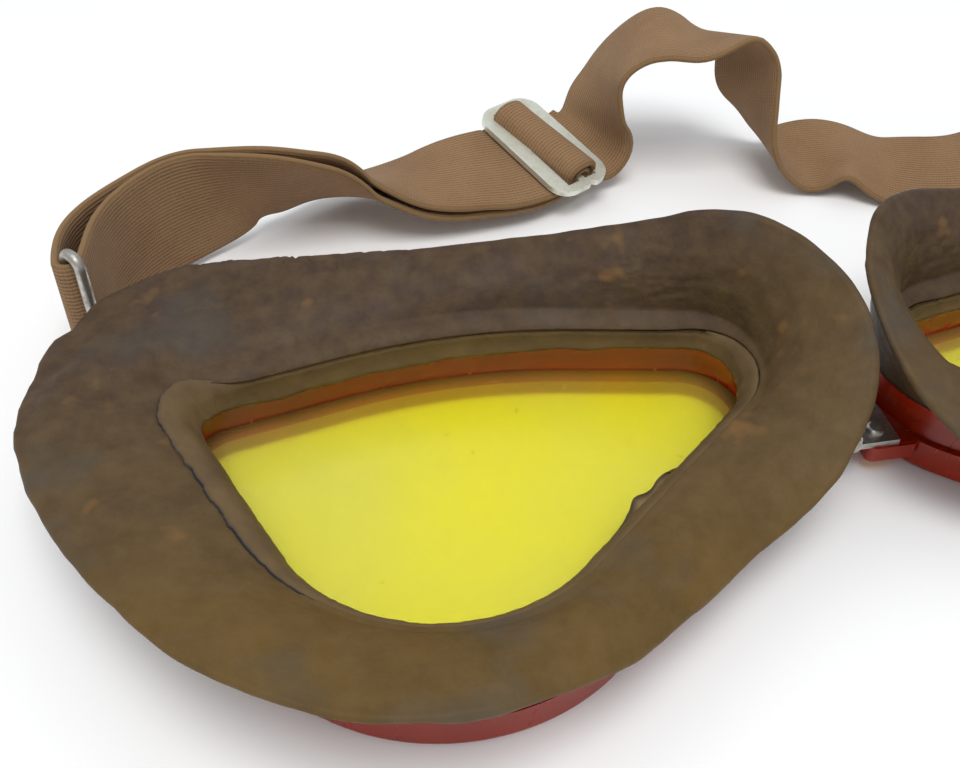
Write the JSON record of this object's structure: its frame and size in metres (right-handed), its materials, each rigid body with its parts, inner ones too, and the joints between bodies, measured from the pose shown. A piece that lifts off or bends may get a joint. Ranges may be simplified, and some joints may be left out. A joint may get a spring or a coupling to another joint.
{
  "type": "aviator flying goggles",
  "caption": "Rubber-cushioned flying goggles with yellow lenses in amber shells, a hinged metal bridge and an elastic strap with wire links and a sliding adjuster.",
  "frame": {"origin": "middle of the outer box's bottom, on the table the bezels lie on", "axes": "+X from the wearer's left cup to the right cup, +Y towards the brow and the strap, +Z away from the lenses towards the face"},
  "size_m": [0.1802, 0.1173, 0.025],
  "materials": {
    "amber_shell": "translucent",
    "yellow_lens": "scratched",
    "cushion_rubber": "dull",
    "seam_tape": "matt",
    "steel": "worn",
    "slider_steel": "satin",
    "strap_elastic": "ribbed"
  },
  "bodies": {
    "left_cup": {"left_frame": "amber_shell", "left_bezel": "amber_shell", "left_bezel_screws": "steel", "left_lens": "yellow_lens", "left_cushion": "cushion_rubber", "left_seam_tape": "seam_tape", "left_temple_tab": "steel", "left_temple_rivets": "steel", "left_bridge_rivets": "steel", "bridge_bar": "steel", "bridge_pin": "steel", "strap_outer_layer": "strap_elastic", "strap_inner_layer": "strap_elastic", "strap_back": "strap_elastic"},
    "right_cup": {"right_frame": "amber_shell", "right_bezel": "amber_shell", "right_bezel_screws": "steel", "right_lens": "yellow_lens", "right_cushion": "cushion_rubber", "right_seam_tape": "seam_tape", "right_temple_tab": "steel", "right_temple_rivets": "steel", "right_bridge_rivets": "steel", "bridge_leaf": "steel"},
    "left_link": {"left_strap_link": "steel", "strap_loop": "strap_elastic"},
    "right_link": {"right_strap_link": "steel", "strap_sewn_loop": "strap_elastic"},
    "slider": {"slider": "slider_steel", "strap_roll": "strap_elastic", "strap_sewn_end": "strap_elastic"}
  },
  "joints": [
    {"name": "bridge_hinge", "type": "hinge", "parent": "left_cup", "child": "right_cup", "pos_m": [0, -0.0217, 0.0053], "axis": [0, 1, 0], "range_deg": [-2, 70], "deforming": ["strap_back"]},
    {"name": "left_link_swing", "type": "hinge", "parent": "left_cup", "child": "left_link", "pos_m": [-0.07924, -0.00112, 0.0044], "axis": [0, 0, 1], "range_deg": [-5, 38], "deforming": ["strap_outer_layer", "strap_inner_layer"]},
    {"name": "right_link_swing", "type": "hinge", "parent": "right_cup", "child": "right_link", "pos_m": [0.07924, -0.00112, 0.0044], "axis": [0, 0, 1], "range_deg": [-38, 5], "deforming": ["strap_back"]},
    {"name": "slider_slide", "type": "slide", "parent": "left_cup", "child": "slider", "axis": [-0.8572, -0.515, 0], "range_m": [0, 0.012], "deforming": ["strap_outer_layer", "strap_inner_layer", "strap_back"]}
  ]
}
